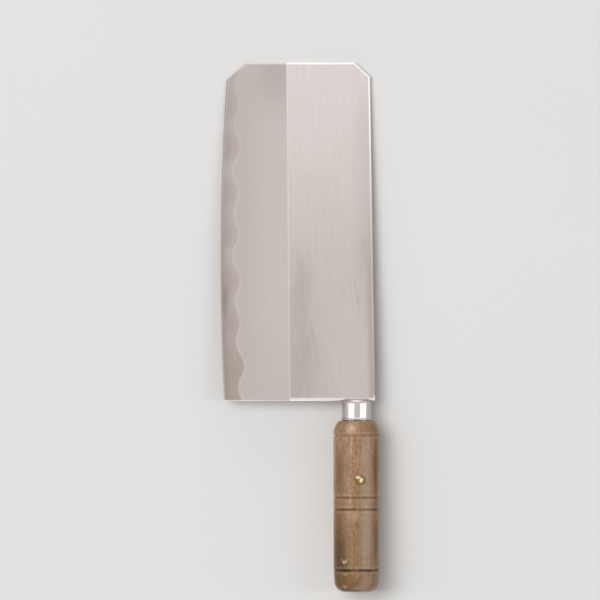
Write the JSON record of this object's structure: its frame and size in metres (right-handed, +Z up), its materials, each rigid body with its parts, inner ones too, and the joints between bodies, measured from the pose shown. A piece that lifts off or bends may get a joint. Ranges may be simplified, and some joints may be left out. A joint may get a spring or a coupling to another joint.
{
  "type": "chinese cleaver",
  "caption": "Chinese cleaver with a broad clad blade, clipped tip corners, plane bevels and a wavy core line, a steel ferrule and a turned wooden handle with grooves and a brass pin.",
  "frame": {"origin": "on the bench, under the middle of the box of the knife as it lies on its back face", "axes": "+Z up from the bench; +Y towards the tip of the blade; +X towards the spine. The handle's axis leans 3.1 degrees down towards the tip, and the blade is rolled 1.1 degrees towards the edge, as the knife comes to rest."},
  "size_m": [0.0966, 0.3206, 0.0325],
  "materials": {
    "core_steel": "hardened steel, ground across, with a fine grey edge",
    "clad_steel": "soft steel, brushed along the blade on the flat and finer on the bevel",
    "ferrule_steel": "polished",
    "handle_wood": "turned and oiled, with scorched grooves",
    "pin_brass": "peened and polished",
    "bedding": "set adhesive"
  },
  "bodies": {
    "root": {"core_steel": "core_steel", "cladding_face": "clad_steel", "cladding_back": "clad_steel", "ferrule": "ferrule_steel", "handle": "handle_wood", "pin": "pin_brass", "tang_bedding": "bedding"}
  },
  "joints": []
}
